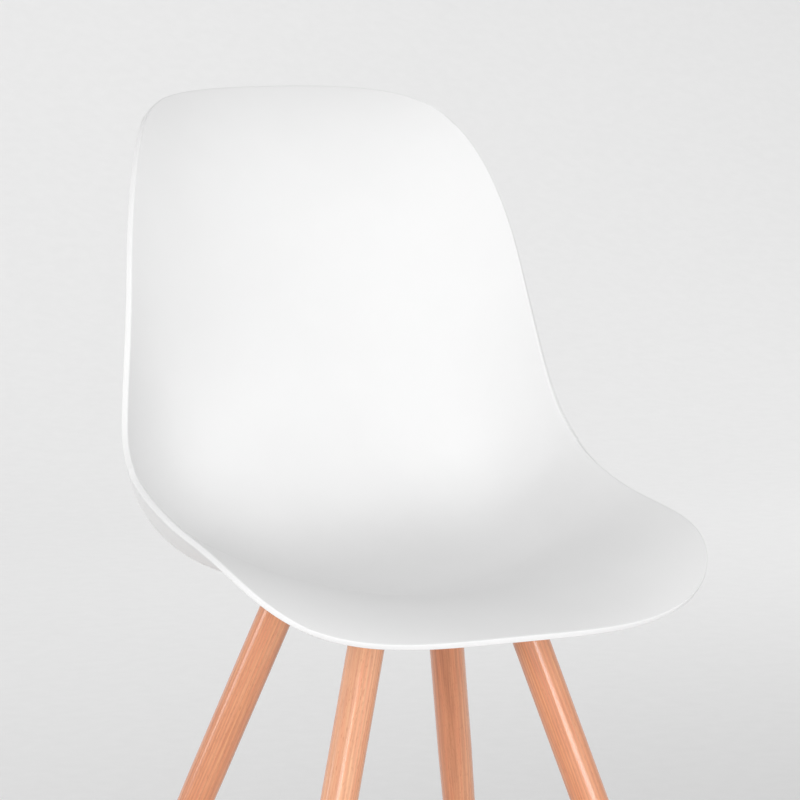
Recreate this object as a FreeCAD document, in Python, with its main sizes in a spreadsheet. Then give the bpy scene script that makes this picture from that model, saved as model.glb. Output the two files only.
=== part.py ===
"""Dining chair: a one-piece plastic shell seat on a welded steel frame with four turned wooden legs.

Millimetres. +Z is up, the sitter faces -Y, and the origin is on the floor under the middle of the
chair. Left and right are as seen from the front: left is -X.
"""
import FreeCAD, Part
import math
import os
import Sketcher
from FreeCAD import Placement, Rotation, Vector
from Part import Geom2d

doc = FreeCAD.newDocument("DiningChair")
AXIS_X, AXIS_Y, AXIS_Z = Vector(1, 0, 0), Vector(0, 1, 0), Vector(0, 0, 1)

# ---------------------------------------------------------------------------------------------
# Sizes. Lengths are in mm, angles in degrees.
# ---------------------------------------------------------------------------------------------
SIZES = [
    ("seat_height", 450, "floor to the shell's wall centre in the middle of the seat"),
    ("shell_wall", 5.5, "thickness of the moulded shell"),
    ("rim_bevel", 1.2, "bevel along the two edges of the shell's rim"),
    ("lip_corner", 130, "length along the shell of the rounded front corners"),
    ("lip_square", 2.7, "squareness of the front corners, 2 is an ellipse"),
    ("top_corner", 179, "length along the shell of the rounded top corners"),
    ("top_square", 2.4, "squareness of the top corners"),
    ("rail_drop", 26, "from the seat height down to the middle of the frame rails"),
    ("rail_x", 36, "middle of each rail from the middle of the chair"),
    ("rail_width", 26, "width of the rails"),
    ("bar_thick", 5, "thickness of the bars and rails"),
    ("bar_width", 32, "width of the bent cross bars"),
    ("bend_x", 52, "where the cross bars bend up, from the middle"),
    ("tab_reach", 21, "bar beyond the axis of the leg"),
    ("tab_round", 12, "rounding of the corners of the tabs"),
    ("front_bar_y", -109.4, "middle of the front cross bar"),
    ("front_tilt", -11.5, "turn of the front bar about X"),
    ("front_bend", 16.8, "bend of the front bar's tabs"),
    ("front_leg_x", 72.3, "axis of a front leg at its top, along the bar"),
    ("rear_bar_y", 47.8, "middle of the rear cross bar"),
    ("rear_tilt", 20.5, "turn of the rear bar about X"),
    ("rear_bend", 14.6, "bend of the rear bar's tabs"),
    ("rear_leg_x", 77.2, "axis of a rear leg at its top, along the bar"),
    ("leg_dia", 30, "leg at its top"),
    ("leg_straight", 170, "length of leg before its taper starts"),
    ("foot_dia", 23, "leg at its foot"),
    ("leg_break", 1, "bevel around the top of a leg"),
    ("glide_dia", 21, "nylon glide under a leg"),
    ("glide_edge", 3, "thinnest edge of a glide"),
    ("nail_dia", 3, "shank of the glide's nail"),
    ("nail_length", 20, "nail from the foot of the leg up"),
    ("nail_head_dia", 9, "head of the nail"),
    ("nail_head", 1.5, "thickness of the nail's head"),
    ("bolt_dia", 8, "leg bolt"),
    ("bolt_length", 30, "leg bolt under its head"),
    ("bolt_flats", 13, "leg bolt's head across its flats"),
    ("bolt_head", 5.3, "height of the leg bolt's head"),
    ("bolt_gap", 0.5, "clearance around a bolt or screw in a plate or washer"),
    ("washer_thick", 1.6, "flat washer of a leg bolt"),
    ("washer_dia", 18, "flat washer of a leg bolt, outside"),
    ("spring_thick", 2, "spring washer of a leg bolt"),
    ("spring_dia", 14.5, "spring washer of a leg bolt, outside"),
    ("leg_insert_dia", 12, "threaded insert in a leg, outside"),
    ("leg_insert_length", 20, "threaded insert in a leg"),
    ("insert_depth", 30, "depth of the bore for the threaded insert"),
    ("front_screw_y", -72, "front pair of shell screws"),
    ("rear_screw_y", 12, "rear pair of shell screws"),
    ("screw_dia", 6, "shell screw"),
    ("screw_length", 18, "shell screw under its head"),
    ("screw_head_dia", 11, "button head of a shell screw"),
    ("screw_head", 3.3, "height of the button head"),
    ("screw_socket", 4, "hexagon socket across its flats"),
    ("screw_socket_depth", 2, "depth of the hexagon socket"),
    ("screw_washer_dia", 14, "washer of a shell screw, outside"),
    ("screw_washer", 1.2, "thickness of a shell screw's washer"),
    ("spacer_dia", 20, "rubber spacer between rail and shell"),
    ("spacer", 3, "thickness of the rubber spacer"),
    ("boss_dia", 20, "moulded boss under the seat"),
    ("boss_bore_depth", 13, "blind bore in a boss"),
    ("boss_insert_dia", 8.5, "brass insert in a boss, outside"),
    ("boss_insert_length", 10, "brass insert in a boss"),
    ("rib_thick", 3, "ribs between the bosses"),
    ("rib_rise", 5, "lower edge of the ribs above the foot of the bosses"),
]

# Cross-sections of the shell, from the front lip over the seat and up the back. Each one has its
# place on the centre line (y, and rise over the seat height), its half width, how far its wings
# stand off the centre line (wing), and the wing's form (flat): 0 is a parabola, towards 1 the
# middle is flatter and the wings turn up later.
SECTIONS = [
    ("lip", -235, -5, 222, -11, -0.05),
    ("nose", -205, 4, 221, 14, 0.10),
    ("thigh", -133, 11, 217, 47, -0.10),
    ("seat", -46, -2, 213, 77, 0.15),
    ("hip", 46, 0, 211, 96, 0.75),
    ("bend", 109, 25, 210, 102, 1.40),
    ("loin", 158, 97, 207, 95, 1.10),
    ("waist", 169, 197, 194, 76, 0.45),
    ("shoulder", 185, 318, 180, 58, 0.00),
    ("top", 235, 407, 196, 80, 0.70),
]
SECTION_SIZES = ("y", "rise", "half", "wing", "flat")

sheet = doc.addObject("Spreadsheet::Sheet", "Sizes")


def write_sizes():
    """Fill the sheet: a size, its note and its alias in each row."""
    rows = list(SIZES)
    for name, *values in SECTIONS:
        rows += [(f"{name}_{size}", value, f"shell section: {name}")
                 for size, value in zip(SECTION_SIZES, values)]
    for number, (name, value, note) in enumerate(rows, start=1):
        sheet.set(f"A{number}", name)
        sheet.set(f"B{number}", str(value))
        sheet.set(f"C{number}", note)
        sheet.setAlias(f"B{number}", name)
    doc.recompute()


write_sizes()


def size(expression):
    """Number of an expression in the sheet's names."""
    result = sheet.evalExpression(expression)
    return float(getattr(result, "Value", result))


# ---------------------------------------------------------------------------------------------
# Helpers for the bodies
# ---------------------------------------------------------------------------------------------
def new_body(label, placement):
    body = doc.addObject("PartDesign::Body", label)
    body.Label = label
    body.Placement = placement
    return body


def new_sketch(body, role, corners):
    """Closed outline of straight edges on one of the body's origin planes.

    Each corner is a pair of expressions, and both of its coordinates are bound to the sheet.
    """
    sketch = body.newObject("Sketcher::SketchObject", f"{body.Name}_sketch")
    plane = next(item for item in body.Origin.OriginFeatures if item.Role == role)
    sketch.AttachmentSupport = [(plane, "")]
    sketch.MapMode = "FlatFace"
    points = [Vector(size(across), size(up), 0) for across, up in corners]
    for start, end in zip(points, points[1:] + points[:1]):
        sketch.addGeometry(Part.LineSegment(start, end))
    for number in range(len(points)):
        after = (number + 1) % len(points)
        sketch.addConstraint(Sketcher.Constraint("Coincident", number, 2, after, 1))
    for number, (point, corner) in enumerate(zip(points, corners)):
        bind_coordinate(sketch, number, "DistanceX", point.x, corner[0], -2)
        bind_coordinate(sketch, number, "DistanceY", point.y, corner[1], -1)
    return sketch


def bind_coordinate(sketch, number, kind, value, expression, axis):
    """Tie one coordinate of an edge's start to its expression, or to the axis where it is zero."""
    if abs(value) < 1e-9:
        sketch.addConstraint(Sketcher.Constraint("PointOnObject", number, 1, axis))
        return
    index = sketch.addConstraint(Sketcher.Constraint(kind, -1, 1, number, 1, value))
    sketch.setExpression(f"Constraints[{index}]", expression)


def turned(label, placement, corners):
    """Body of revolution about its own Z axis from half of its section."""
    body = new_body(label, placement)
    sketch = new_sketch(body, "XZ_Plane", corners)
    turn = body.newObject("PartDesign::Revolution", f"{label}_turn")
    turn.Profile = sketch
    turn.ReferenceAxis = (sketch, ["V_Axis"])
    turn.Angle = 360
    return body


def pad(body, sketch, length, centred=False):
    feature = body.newObject("PartDesign::Pad", f"{body.Name}_pad")
    feature.Profile = sketch
    feature.Midplane = centred
    feature.setExpression("Length", length)
    return feature


def pocket(body, sketch, length, centred=False, backwards=False):
    """Cut the sketch's outline out of the body, and make sure that it took something away."""
    doc.recompute()
    before = body.Shape.Volume
    feature = body.newObject("PartDesign::Pocket", f"{sketch.Name}_pocket")
    feature.Profile = sketch
    feature.Midplane = centred
    feature.Reversed = backwards
    feature.setExpression("Length", length)
    doc.recompute()
    if body.Shape.Volume > before - 1e-3:
        raise ValueError(f"{body.Label}: a pocket cuts nothing")
    return feature


def hexagon(flats):
    """Corners of a hexagon, given the expression of its size across the flats."""
    radius = f"{flats} / sqrt(3)"
    return [(f"{radius} * cos({turn})", f"{radius} * sin({turn})") for turn in range(0, 360, 60)]


# ---------------------------------------------------------------------------------------------
# Where things are: expressions for the frame's two ends
# ---------------------------------------------------------------------------------------------
RAIL_Z = "(Sizes.seat_height - Sizes.rail_drop)"
RAIL_TOP = f"({RAIL_Z} + Sizes.bar_thick / 2)"
BOSS_FOOT = f"({RAIL_TOP} + Sizes.spacer)"
SIDES = {"left": -1, "right": 1}
ENDS = ("front", "rear")


def bar_z(end):
    """Height of a cross bar: the edge that the rails meet is level with them."""
    return f"({RAIL_Z} + Sizes.bar_width / 2 * abs(sin(Sizes.{end}_tilt)))"


def tab_z(end):
    """Underside of a bar's tab on the axis of the leg, from the middle of the bar."""
    rise = f"(Sizes.{end}_leg_x - Sizes.bend_x) * tan(Sizes.{end}_bend)"
    return f"({rise} - Sizes.bar_thick / 2)"


def splay(end):
    """Angle between the legs of one end and the vertical."""
    return f"acos(cos(Sizes.{end}_tilt) * cos(Sizes.{end}_bend))"


def leg_run(end):
    """Length of a leg's axis from the tab down to the floor."""
    height = f"({bar_z(end)} + {tab_z(end)} * cos(Sizes.{end}_tilt))"
    return f"({height} / cos({splay(end)}))"


def glide_middle(end):
    """Thickness of a glide on the axis of the leg."""
    return f"(Sizes.glide_edge + Sizes.glide_dia / 2 * tan({splay(end)}))"


def leg_length(end):
    return f"({leg_run(end)} - {glide_middle(end)})"


def bar_placement(end):
    place = Vector(0, size(f"Sizes.{end}_bar_y"), size(bar_z(end)))
    return Placement(place, Rotation(AXIS_X, size(f"Sizes.{end}_tilt")))


def leg_placement(end, side):
    """Local Z runs up the leg's axis, Z = 0 is its top, and X points the way the leg leans out."""
    bar = bar_placement(end)
    top = bar.multVec(Vector(side * size(f"Sizes.{end}_leg_x"), 0, size(tab_z(end))))
    up = Rotation(AXIS_Y, -side * size(f"Sizes.{end}_bend")).multVec(AXIS_Z)
    up = bar.Rotation.multVec(up)
    lean_way = Rotation(AXIS_Z, math.degrees(math.atan2(-up.y, -up.x)))
    lean = Rotation(AXIS_Y, -math.degrees(math.acos(up.z)))
    return Placement(top, lean_way.multiply(lean))


# ---------------------------------------------------------------------------------------------
# Steel frame: two bent cross bars, and two rails welded between them
# ---------------------------------------------------------------------------------------------
def cross_bar(end):
    """Flat bar with each end bent up into a tab over a leg, square to the leg's axis."""
    body = new_body(f"frame_bar_{end}", bar_placement(end))
    half_thick = "Sizes.bar_thick / 2"
    bend = f"Sizes.{end}_bend"
    reach = f"Sizes.tab_reach * cos({bend})"
    end_x = f"(Sizes.{end}_leg_x + {reach})"
    end_z = f"({tab_z(end)} + Sizes.tab_reach * sin({bend}))"
    upper_bend_x = f"Sizes.bend_x - Sizes.bar_thick * tan({bend} / 2)"
    right = [
        ("Sizes.bend_x", f"-{half_thick}"),
        (end_x, end_z),
        (f"{end_x} - Sizes.bar_thick * sin({bend})", f"{end_z} + Sizes.bar_thick * cos({bend})"),
        (upper_bend_x, half_thick),
    ]
    left = [(f"-({across})", up) for across, up in reversed(right)]
    sketch = new_sketch(body, "XZ_Plane", right + left)
    plate = pad(body, sketch, "Sizes.bar_width", centred=True)
    round_tabs(body, plate, end)
    bore_tabs(body, end)


def round_tabs(body, plate, end):
    """Round the four upright corners of the two tabs."""
    doc.recompute()
    axis_x = size(f"Sizes.{end}_leg_x")
    corners = []
    for number, edge in enumerate(plate.Shape.Edges, start=1):
        ends = [vertex.Point for vertex in edge.Vertexes]
        across_bar = abs(ends[0].y - ends[1].y) > 1
        if not across_bar and min(abs(point.x) for point in ends) > axis_x:
            corners.append(f"Edge{number}")
    fillet = body.newObject("PartDesign::Fillet", f"{body.Name}_round")
    fillet.Base = (plate, corners)
    fillet.setExpression("Radius", "Sizes.tab_round")
    doc.recompute()


def bore_tabs(body, end):
    """Bolt hole through a tab along the leg's axis, mirrored to the other tab."""
    bend = f"Sizes.{end}_bend"
    radius = "(Sizes.bolt_dia / 2 + Sizes.bolt_gap)"
    over = "2 * Sizes.bar_thick"
    axis_x, axis_z = f"Sizes.{end}_leg_x", tab_z(end)
    corners = []
    for out, along in (("0", f"-{over}"), (radius, f"-{over}"), (radius, over), ("0", over)):
        corners.append((f"{axis_x} + {out} * cos({bend}) - ({along}) * sin({bend})",
                        f"{axis_z} + {out} * sin({bend}) + ({along}) * cos({bend})"))
    sketch = new_sketch(body, "XZ_Plane", corners)
    axis = sketch.addGeometry(Part.LineSegment(Vector(0, 0, 0), Vector(1, 1, 0)), True)
    sketch.addConstraint(Sketcher.Constraint("Coincident", axis, 1, 0, 1))
    sketch.addConstraint(Sketcher.Constraint("Coincident", axis, 2, 3, 1))
    doc.recompute()
    before = body.Shape.Volume
    groove = body.newObject("PartDesign::Groove", f"{body.Name}_bore")
    groove.Profile = sketch
    groove.ReferenceAxis = (sketch, ["Axis0"])
    groove.Angle = 360
    doc.recompute()
    one = before - body.Shape.Volume
    mirror = body.newObject("PartDesign::Mirrored", f"{body.Name}_bores")
    mirror.Originals = [groove]
    plane = next(item for item in body.Origin.OriginFeatures if item.Role == "YZ_Plane")
    mirror.MirrorPlane = (plane, [""])
    body.Tip = mirror
    doc.recompute()
    if one < 1 or abs(before - body.Shape.Volume - 2 * one) > 0.01 * one:
        raise ValueError(f"{body.Label}: the two bores are not alike")


def rail(name, side):
    """Flat rail between the cross bars: its ends follow their tilted edges."""
    place = Vector(side * size("Sizes.rail_x"), 0, size(RAIL_Z))
    body = new_body(f"frame_rail_{name}", Placement(place, Rotation()))
    half_thick = "Sizes.bar_thick / 2"
    half_bar = "Sizes.bar_width / 2"
    front = f"Sizes.front_bar_y + {half_bar} * cos(Sizes.front_tilt)"
    rear = f"Sizes.rear_bar_y - {half_bar} * cos(Sizes.rear_tilt)"
    front_lean = f"{half_thick} * tan(Sizes.front_tilt)"
    rear_lean = f"{half_thick} * tan(Sizes.rear_tilt)"
    sketch = new_sketch(body, "YZ_Plane", [
        (f"{front} + {front_lean}", f"-{half_thick}"),
        (f"{rear} + {rear_lean}", f"-{half_thick}"),
        (f"{rear} - {rear_lean}", half_thick),
        (f"{front} - {front_lean}", half_thick),
    ])
    pad(body, sketch, "Sizes.rail_width", centred=True)
    holes = new_circles(body, "XY_Plane", "Sizes.screw_dia + 2 * Sizes.bolt_gap",
                        [f"Sizes.{end}_screw_y" for end in ENDS])
    pocket(body, holes, "2 * Sizes.bar_thick", centred=True)


def new_circles(body, role, diameter, places):
    """Circles of one diameter along the sketch's vertical axis."""
    sketch = body.newObject("Sketcher::SketchObject", f"{body.Name}_holes")
    plane = next(item for item in body.Origin.OriginFeatures if item.Role == role)
    sketch.AttachmentSupport = [(plane, "")]
    sketch.MapMode = "FlatFace"
    for number, place in enumerate(places):
        up = size(place)
        sketch.addGeometry(Part.Circle(Vector(0, up, 0), AXIS_Z, size(diameter) / 2))
        bind_diameter = sketch.addConstraint(
            Sketcher.Constraint("Diameter", number, size(diameter)))
        sketch.setExpression(f"Constraints[{bind_diameter}]", diameter)
        sketch.addConstraint(Sketcher.Constraint("PointOnObject", number, 3, -2))
        bind_up = sketch.addConstraint(Sketcher.Constraint("DistanceY", -1, 1, number, 3, up))
        sketch.setExpression(f"Constraints[{bind_up}]", place)
    return sketch


# ---------------------------------------------------------------------------------------------
# Legs, and all that lies on the axis of a leg
# ---------------------------------------------------------------------------------------------
def leg(end, name, place):
    """Round leg: straight at the top, then a taper to the foot; bored for insert and nail."""
    radius, foot = "Sizes.leg_dia / 2", "Sizes.foot_dia / 2"
    insert, nail = "Sizes.leg_insert_dia / 2", "Sizes.nail_dia / 2"
    length = leg_length(end)
    turned(f"leg_{end}_{name}", place, [
        (insert, "0"),
        (f"{radius} - Sizes.leg_break", "0"),
        (radius, "-Sizes.leg_break"),
        (radius, "-Sizes.leg_straight"),
        (foot, f"-{length}"),
        (nail, f"-{length}"),
        (nail, f"-({length} - Sizes.nail_length)"),
        ("0", f"-({length} - Sizes.nail_length)"),
        ("0", "-Sizes.insert_depth"),
        (insert, "-Sizes.insert_depth"),
    ])


def glide(end, name, place):
    """Nylon glide: square to the leg above, level with the floor below."""
    radius, head = "Sizes.glide_dia / 2", "Sizes.nail_head_dia / 2"
    top, lean = f"-{leg_length(end)}", splay(end)
    low = f"-({leg_run(end)} + {radius} * tan({lean}) + Sizes.glide_edge)"
    body = turned(f"glide_{end}_{name}", place, [
        (head, top),
        (radius, top),
        (radius, low),
        ("0", low),
        ("0", f"{top} - Sizes.nail_head"),
        (head, f"{top} - Sizes.nail_head"),
    ])
    out = "Sizes.glide_dia"
    below = f"{low} - {out}"
    floor_rise = f"{out} * tan({lean})"
    floor = new_sketch(body, "XZ_Plane", [
        (f"-{out}", below),
        (out, below),
        (out, f"-{leg_run(end)} - {floor_rise}"),
        (f"-{out}", f"-{leg_run(end)} + {floor_rise}"),
    ])
    pocket(body, floor, "2 * Sizes.glide_dia", centred=True)


def glide_nail(end, name, place):
    head, shank = "Sizes.nail_head_dia / 2", "Sizes.nail_dia / 2"
    foot = f"-{leg_length(end)}"
    turned(f"glide_nail_{end}_{name}", place, [
        ("0", f"{foot} - Sizes.nail_head"),
        (head, f"{foot} - Sizes.nail_head"),
        (head, foot),
        (shank, foot),
        (shank, f"{foot} + Sizes.nail_length - {shank}"),
        ("0", f"{foot} + Sizes.nail_length"),
    ])


def ring(label, place, outside, bore, low, high):
    """Washer, spacer or insert: a plain ring about the local Z axis."""
    turned(label, place, [(bore, low), (outside, low), (outside, high), (bore, high)])


def leg_fastening(end, name, place):
    """Insert in the leg, and above the tab a flat washer, a spring washer and the bolt."""
    bolt, gap = "Sizes.bolt_dia / 2", "Sizes.bolt_gap"
    tab_top = "Sizes.bar_thick"
    washer_top = f"({tab_top} + Sizes.washer_thick)"
    spring_top = f"({washer_top} + Sizes.spring_thick)"
    ring(f"leg_insert_{end}_{name}", place, "Sizes.leg_insert_dia / 2", bolt,
         "-Sizes.leg_insert_length", "0")
    ring(f"leg_washer_{end}_{name}", place, "Sizes.washer_dia / 2", f"{bolt} + {gap}",
         tab_top, washer_top)
    ring(f"leg_spring_{end}_{name}", place, "Sizes.spring_dia / 2", f"{bolt} + {gap}",
         washer_top, spring_top)
    tip = f"({spring_top} - Sizes.bolt_length)"
    tip_break = f"{bolt} - Sizes.leg_break"
    shank_top = f"({spring_top} + Sizes.bolt_head / 2)"
    body = turned(f"leg_bolt_{end}_{name}", place, [
        ("0", tip),
        (tip_break, tip),
        (bolt, f"{tip} + Sizes.leg_break"),
        (bolt, shank_top),
        ("0", shank_top),
    ])
    head = new_sketch(body, "XY_Plane", hexagon("Sizes.bolt_flats"))
    head.setExpression("AttachmentOffset.Base.z", spring_top)
    pad(body, head, "Sizes.bolt_head")


# ---------------------------------------------------------------------------------------------
# Shell fixings, in line under each boss
# ---------------------------------------------------------------------------------------------
def shell_fixing(end, name, side):
    """Spacer, brass insert, washer and button-head screw; local Z = 0 is the rail's underside."""
    below = Vector(side * size("Sizes.rail_x"), size(f"Sizes.{end}_screw_y"),
                   size(f"{RAIL_Z} - Sizes.bar_thick / 2"))
    place = Placement(below, Rotation())
    screw, gap = "Sizes.screw_dia / 2", "Sizes.bolt_gap"
    rail_top = "Sizes.bar_thick"
    spacer_top = f"({rail_top} + Sizes.spacer)"
    ring(f"shell_spacer_{end}_{name}", place, "Sizes.spacer_dia / 2", f"{screw} + {gap}",
         rail_top, spacer_top)
    ring(f"boss_insert_{end}_{name}", place, "Sizes.boss_insert_dia / 2", screw,
         spacer_top, f"{spacer_top} + Sizes.boss_insert_length")
    ring(f"shell_washer_{end}_{name}", place, "Sizes.screw_washer_dia / 2", f"{screw} + {gap}",
         "-Sizes.screw_washer", "0")
    head_top = "-Sizes.screw_washer"
    head_low = f"(-Sizes.screw_washer - Sizes.screw_head)"
    head = "Sizes.screw_head_dia / 2"
    body = turned(f"shell_screw_{end}_{name}", place, [
        ("0", head_low),
        (f"{head} - Sizes.screw_head / 2 - Sizes.leg_break", head_low),
        (f"{head} - Sizes.screw_head / 4", f"{head_low} + Sizes.screw_head / 3"),
        (head, f"{head_top} - Sizes.screw_head / 4"),
        (head, head_top),
        (screw, head_top),
        (screw, f"{head_top} + Sizes.screw_length"),
        ("0", f"{head_top} + Sizes.screw_length"),
    ])
    socket = new_sketch(body, "XY_Plane", hexagon("Sizes.screw_socket"))
    socket.setExpression("AttachmentOffset.Base.z", head_low)
    pocket(body, socket, "Sizes.screw_socket_depth", backwards=True)


# ---------------------------------------------------------------------------------------------
# Shell: one moulded wall of even thickness about a surface that the cross-sections set
# ---------------------------------------------------------------------------------------------
MARGIN = 0.02
ROWS, COLUMNS = 30, 17
CORNER_STEPS, SIDE_STEPS = 12, 6


def smooth_line(points, parameters=None):
    curve = Part.BSplineCurve()
    if parameters:
        curve.interpolate(Points=points, Parameters=parameters)
    else:
        curve.interpolate(points)
    return curve


class Seat:
    """The middle surface of the shell, by share of its centre line and distance from the middle."""

    def __init__(self):
        names = [name for name, *_ in SECTIONS]
        height = size("Sizes.seat_height")
        points = [Vector(0, size(f"Sizes.{name}_y"), height + size(f"Sizes.{name}_rise"))
                  for name in names]
        self.centre = smooth_line(points)
        self.length = self.centre.length()
        shares = [self.share(point) for point in points]
        self.half = self.blend(shares, [size(f"Sizes.{name}_half") for name in names])
        self.wing = self.blend(shares, [size(f"Sizes.{name}_wing") for name in names])
        self.flat = self.blend(shares, [size(f"Sizes.{name}_flat") for name in names])

    def share(self, point):
        first, here = self.centre.FirstParameter, self.centre.parameter(point)
        return self.centre.length(first, here) / self.length if here - first > 1e-9 else 0.0

    def blend(self, shares, values):
        """Smooth change of one size from section to section."""
        line = smooth_line([Vector(share, value, 0) for share, value in zip(shares, values)], shares)
        return lambda share: line.value(min(max(share, 0.0), 1.0)).y

    def middle(self, share):
        """Point and direction of the centre line, which runs on straight past both of its ends."""
        inside = min(max(share, 0.0), 1.0)
        parameter = self.centre.parameterAtDistance(inside * self.length)
        way = self.centre.tangent(parameter)[0]
        return self.centre.value(parameter) + way * (share - inside) * self.length, way

    def point(self, share, across):
        """The wing rises square to the centre line, by a blend of a square and a fourth power."""
        middle, way = self.middle(share)
        flat = self.flat(share)
        out = (across / self.half(share)) ** 2
        rise = self.wing(share) * ((1 - flat) * out + flat * out * out)
        return Vector(across, middle.y, middle.z) + Vector(0, -way.z, way.y) * rise

    def normal(self, share, across):
        """Square to the surface, towards the sitter."""
        along = self.point(share + 0.0005, across) - self.point(share - 0.0005, across)
        sideways = self.point(share, across + 0.5) - self.point(share, across - 0.5)
        return sideways.cross(along).normalize()

    def skin(self, offset, low=-MARGIN, high=1 + MARGIN, reach=None):
        """Surface at an even distance from the middle surface."""
        rows = []
        for row in range(ROWS):
            share = low + (high - low) * row / (ROWS - 1)
            width = reach or self.half(share) * (1 + 2 * MARGIN)
            acrosses = [width * (2 * column / (COLUMNS - 1) - 1) for column in range(COLUMNS)]
            rows.append([self.point(share, across) + self.normal(share, across) * offset
                         for across in acrosses])
        surface = Part.BSplineSurface()
        surface.interpolate(rows)
        return surface

    def rim(self):
        """Places around the edge of the shell: superellipse corners and long sides."""
        lip, top = size("Sizes.lip_corner") / self.length, size("Sizes.top_corner") / self.length
        right = [(lip * back, out) for back, out in corner_steps(size("Sizes.lip_square"))]
        sides = [lip + (1 - top - lip) * step / SIDE_STEPS for step in range(1, SIDE_STEPS)]
        right += [(share, 1.0) for share in sides]
        upper = [(1 - top * back, out) for back, out in corner_steps(size("Sizes.top_square"))]
        right += reversed(upper)
        right = [(share, out * self.half(share)) for share, out in right]
        return right + [(share, -across) for share, across in right[-2:0:-1]]


def corner_steps(squareness):
    """Quarter of a superellipse from the middle of its end to its side."""
    power = 2 / squareness
    turns = [math.pi / 2 * step / CORNER_STEPS for step in range(CORNER_STEPS)]
    steps = [(1 - math.cos(turn) ** power, math.sin(turn) ** power) for turn in turns]
    return steps + [(1.0, 1.0)]


def rim_rings(seat):
    """Function that gives the closed line of points at a height over the wall's middle and inset."""
    places = seat.rim()
    points = [seat.point(*place) for place in places]
    normals = [seat.normal(*place) for place in places]
    inwards = []
    for number, normal in enumerate(normals):
        along = points[(number + 1) % len(points)] - points[number - 1]
        inwards.append(normal.cross(along).normalize())
    return lambda over, inset: [point + normal * over + inward * inset
                                for point, normal, inward in zip(points, normals, inwards)]


def closed_line(points):
    curve = Part.BSplineCurve()
    curve.interpolate(Points=points, PeriodicFlag=True)
    return curve.toShape()


def trimmed(surface, points):
    """Face of a surface inside a closed line that lies on it, and the edge of the face."""
    curve = Geom2d.BSplineCurve2d()
    places = [FreeCAD.Base.Vector2d(*surface.parameter(point)) for point in points]
    curve.interpolate(Points=places, PeriodicFlag=True)
    edge = curve.toShape(surface)
    return Part.Face(surface, Part.Wire([edge])), edge


def shell_wall(seat):
    """Two skins, joined around the rim by a band with bevelled edges."""
    half, bevel = size("Sizes.shell_wall") / 2, size("Sizes.rim_bevel")
    ring_at = rim_rings(seat)
    outer, outer_edge = trimmed(seat.skin(-half), ring_at(-half, bevel))
    inner, inner_edge = trimmed(seat.skin(half), ring_at(half, bevel))
    lower, upper = (closed_line(ring_at(over, 0)) for over in (bevel - half, half - bevel))
    edges = [outer_edge, lower, upper, inner_edge]
    faces = [outer, inner]
    for first, second in zip(edges, edges[1:]):
        faces += Part.makeRuledSurface(first, second).Faces
    skin = Part.makeShell(faces)
    skin.sewShape()
    solid = Part.makeSolid(skin)
    if solid.Volume < 0:
        solid.reverse()
    return solid


def under_seat(seat):
    """Bosses for the frame's screws and the ribs between them, up to the middle of the wall."""
    foot, radius = size(BOSS_FOOT), size("Sizes.boss_dia / 2")
    across, thick = size("Sizes.rail_x"), size("Sizes.rib_thick")
    front, rear = size("Sizes.front_screw_y"), size("Sizes.rear_screw_y")
    rib_foot = foot + size("Sizes.rib_rise")
    tall = 60
    pieces = []
    for y in (front, rear):
        pieces += [Part.makeCylinder(radius, tall, Vector(x, y, foot)) for x in (-across, across)]
        pieces.append(Part.makeBox(2 * across, thick, tall, Vector(-across, y - thick / 2, rib_foot)))
    for x in (-across, across):
        pieces.append(Part.makeBox(thick, rear - front, tall, Vector(x - thick / 2, front, rib_foot)))
    above = seat.skin(0, 0.03, 0.5, across + 2 * radius).toShape().extrude(AXIS_Z * 2 * tall)
    return pieces[0].fuse(pieces[1:]).cut(above)


def seat_shell():
    seat = Seat()
    foot, bore = size(BOSS_FOOT), size("Sizes.boss_insert_dia / 2")
    solid = shell_wall(seat).fuse(under_seat(seat))
    for x in (-size("Sizes.rail_x"), size("Sizes.rail_x")):
        for end in ENDS:
            place = Vector(x, size(f"Sizes.{end}_screw_y"), foot)
            solid = solid.cut(Part.makeCylinder(bore, size("Sizes.boss_bore_depth"), place))
    feature = doc.addObject("Part::Feature", "seat_shell")
    feature.Label = "seat_shell"
    feature.Shape = solid.Solids[0] if len(solid.Solids) == 1 else solid
    feature.Placement = Placement()


# ---------------------------------------------------------------------------------------------
# The whole chair
# ---------------------------------------------------------------------------------------------
def build():
    seat_shell()
    for end in ENDS:
        cross_bar(end)
        for name, side in SIDES.items():
            place = leg_placement(end, side)
            leg(end, name, place)
            glide(end, name, place)
            glide_nail(end, name, place)
            leg_fastening(end, name, place)
            shell_fixing(end, name, side)
    for name, side in SIDES.items():
        rail(name, side)
    doc.recompute()


def write_parts():
    """Stop at any failed object or shape, then write one file for each sub-part."""
    for item in doc.Objects:
        if {"Invalid", "Error"} & set(item.State):
            raise ValueError(f"{item.Name} failed: {item.State}")
    parts = [item for item in doc.Objects if item.TypeId in ("PartDesign::Body", "Part::Feature")]
    parts = [item for item in parts if item.getParentGeoFeatureGroup() is None]
    for part in parts:
        if part.Shape.isNull() or not part.Shape.isValid() or not part.Shape.Solids:
            raise ValueError(f"{part.Label} is not a valid solid")
    os.makedirs("parts", exist_ok=True)
    for part in parts:
        part.Shape.exportStep(f"parts/{part.Label}.step")
        box = part.Shape.BoundBox
        print(f"{part.Label:26s} {part.Shape.Volume:12.1f} mm3  z {box.ZMin:7.2f} to {box.ZMax:7.2f}")


build()
write_parts()
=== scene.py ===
# %% [markdown]
# # A moulded shell chair on turned beech legs
#
# The chair comes in as a fixed frame: one object for each real piece, in metres, with the floor at
# Z = 0 and the sitter facing -Y. This lesson keeps the small hardware as it is, remakes the shell
# and the turned pieces with clean quad meshes, and gives every piece the finish of the real thing.

# %% Load the frame
import math

import bmesh
import bpy
import numpy as np
from mathutils import Matrix, Vector


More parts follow.
